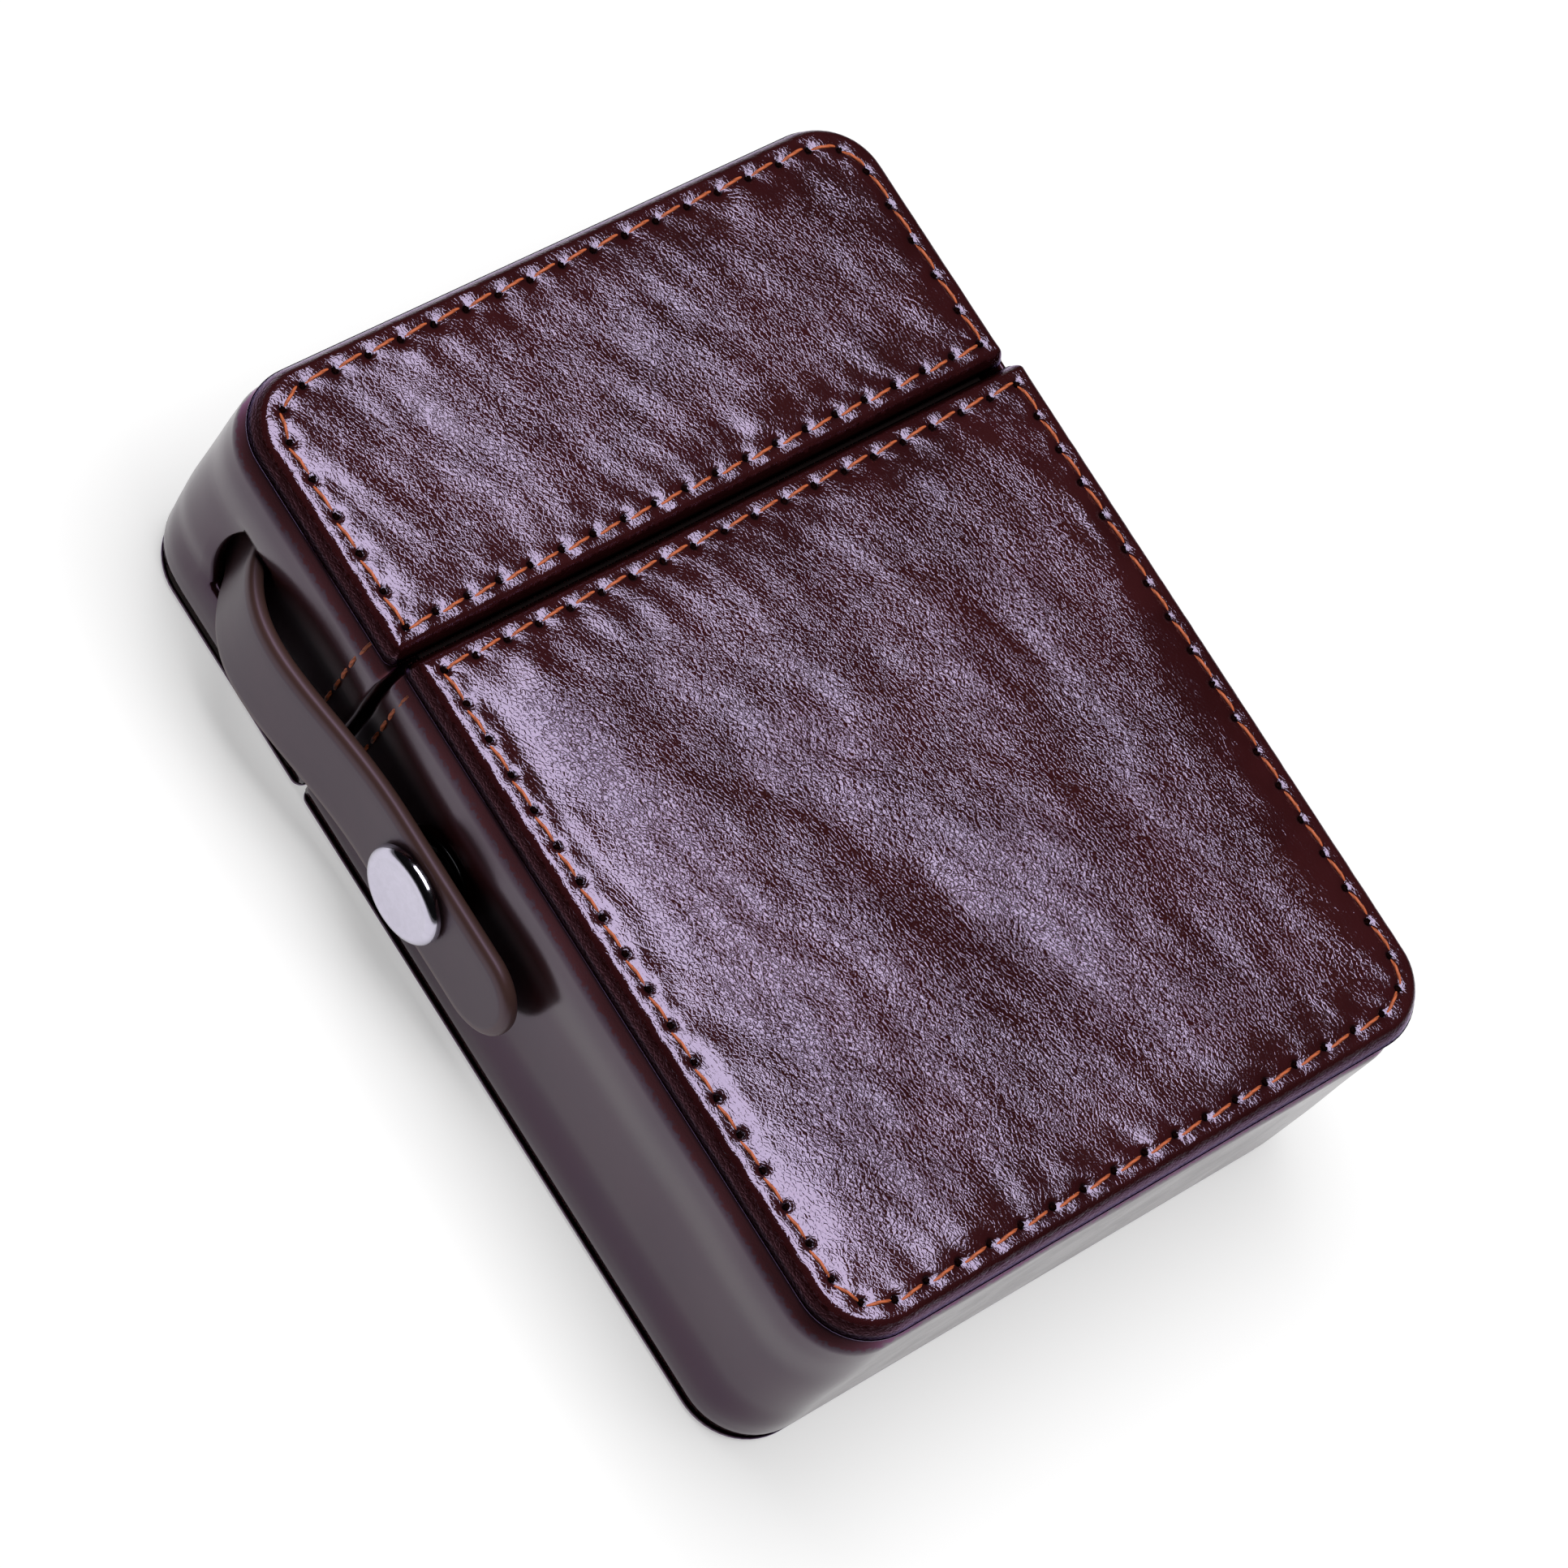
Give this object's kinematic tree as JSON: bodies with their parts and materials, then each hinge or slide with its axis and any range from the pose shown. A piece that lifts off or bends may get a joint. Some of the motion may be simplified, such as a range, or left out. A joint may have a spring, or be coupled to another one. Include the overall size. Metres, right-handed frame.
{
  "type": "cigarette and lighter case",
  "caption": "Leather-covered cigarette and lighter case with a side-hinged lid, a stitched padded front and a snap strap across the split.",
  "frame": {"origin": "on the outer face of the back cover, halfway along the case and across the body", "axes": "+Z out of the front face, +Y towards the lid's end, +X towards the hinge side; the strap and snap are on the -X side"},
  "size_m": [0.0829, 0.109, 0.0343],
  "materials": {
    "padded_leather": "glossy burgundy leather with fine creases, padded and stitched",
    "wall_leather": "smooth satin dark brown leather",
    "strap_leather": "satin brown leather, two layers with painted edges",
    "hinge_leather": "soft dark leather",
    "grey_board": "pressed board",
    "flocked_liner": "black flocked lining",
    "chrome": "polished chrome plate",
    "black_metal": "black plated metal"
  },
  "bodies": {
    "case_body": {"body_front_cover": "padded_leather", "body_front_board": "grey_board", "body_back_cover": "padded_leather", "body_back_board": "grey_board", "body_side_band": "wall_leather", "body_liner": "flocked_liner", "compartment_divider": "flocked_liner", "hinge_leather_body": "hinge_leather", "snap_stud": "black_metal", "snap_stud_rivet": "black_metal"},
    "lid": {"lid_front_cover": "padded_leather", "lid_front_board": "grey_board", "lid_back_cover": "padded_leather", "lid_back_board": "grey_board", "lid_side_band": "wall_leather", "hinge_leather_lid": "hinge_leather", "strap_anchor": "strap_leather"},
    "strap": {"snap_strap": "strap_leather", "snap_cap": "chrome", "snap_socket": "black_metal"}
  },
  "joints": [
    {"name": "lid_hinge", "type": "hinge", "parent": "case_body", "child": "lid", "pos_m": [0.0394, 0.0235, 0.017], "axis": [0, 0, -1], "range_deg": [0, 120]},
    {"name": "strap_swing", "type": "hinge", "parent": "lid", "child": "strap", "pos_m": [-0.0393, 0.0418, 0.0142], "axis": [0, 0, -1], "range_deg": [0, 95]}
  ]
}
